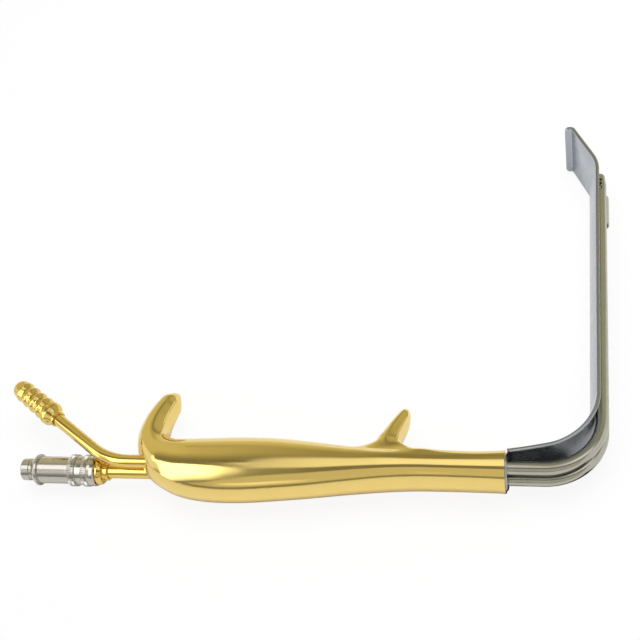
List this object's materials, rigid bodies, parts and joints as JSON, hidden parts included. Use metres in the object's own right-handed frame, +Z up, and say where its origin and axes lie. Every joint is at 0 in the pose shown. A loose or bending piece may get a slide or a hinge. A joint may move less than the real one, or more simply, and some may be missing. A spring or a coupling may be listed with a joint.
{
  "type": "fiber optic retractor",
  "caption": "Handheld right-angle retractor with a crowned steel blade, suction and fibre light tubes, a gold-plated hooked handle, a hose barb and a screwed light adapter.",
  "frame": {"origin": "bottom centre of the whole part's box, with the part lying on its side", "axes": "+X along the handle towards the blade, +Y along the blade from handle to lip, +Z up, across the blade's width"},
  "size_m": [0.2586, 0.1892, 0.03],
  "materials": {
    "gold_plate": "mirror-polished gold plating",
    "satin_steel": "satin stainless steel",
    "inner_steel": "machined stainless steel",
    "silver_braze": "silver braze, blasted",
    "bright_nickel": "polished nickel plating",
    "optical_glass": "polished optical glass",
    "glass_fibre": "bundled glass fibre, ground end",
    "silicone": "soft silicone sleeve"
  },
  "bodies": {
    "root": {"handle_shell_left": "gold_plate", "handle_shell_right": "gold_plate", "suction_tube_rear": "gold_plate", "hose_barb": "gold_plate", "light_post_tube": "gold_plate", "light_post_collar": "gold_plate", "blade": "satin_steel", "suction_tube_front": "satin_steel", "suction_tip": "satin_steel", "light_guide_tube": "satin_steel", "light_exit_head": "satin_steel", "front_plug": "satin_steel", "tang_block": "inner_steel", "tang_rivets": "inner_steel", "rear_bush": "inner_steel", "suction_coupling": "inner_steel", "bundle_ferrule": "inner_steel", "braze_beads": "silver_braze", "light_exit_window": "optical_glass", "fibre_bundle": "glass_fibre", "bundle_sleeve": "silicone"},
    "inner_adapter": {"inner_adapter_body": "bright_nickel", "inner_light_rod": "optical_glass"},
    "inner_ring": {"inner_coupling_ring": "bright_nickel"},
    "outer_adapter": {"outer_adapter_body": "bright_nickel", "outer_light_rod": "optical_glass"},
    "outer_ring": {"outer_coupling_ring": "bright_nickel"}
  },
  "joints": [
    {"name": "inner_adapter_draw", "type": "slide", "parent": "root", "child": "inner_adapter", "axis": [-1, 0, 0], "range_m": [0, 0.003]},
    {"name": "inner_ring_turn", "type": "hinge", "parent": "inner_adapter", "child": "inner_ring", "pos_m": [-0.11686, -0.07997, 0.0106], "axis": [-1, 0, 0], "range_deg": [0, 1440]},
    {"name": "outer_adapter_draw", "type": "slide", "parent": "inner_adapter", "child": "outer_adapter", "axis": [-1, 0, 0], "range_m": [0, 0.0012]},
    {"name": "outer_ring_turn", "type": "hinge", "parent": "outer_adapter", "child": "outer_ring", "pos_m": [-0.11686, -0.07997, 0.0106], "axis": [-1, 0, 0], "range_deg": [0, 720]}
  ],
  "couplings": [
    {"joint": "inner_ring_turn", "follows": "inner_adapter_draw", "rad_per_m": 8377.6},
    {"joint": "outer_ring_turn", "follows": "outer_adapter_draw", "rad_per_m": 10472}
  ]
}
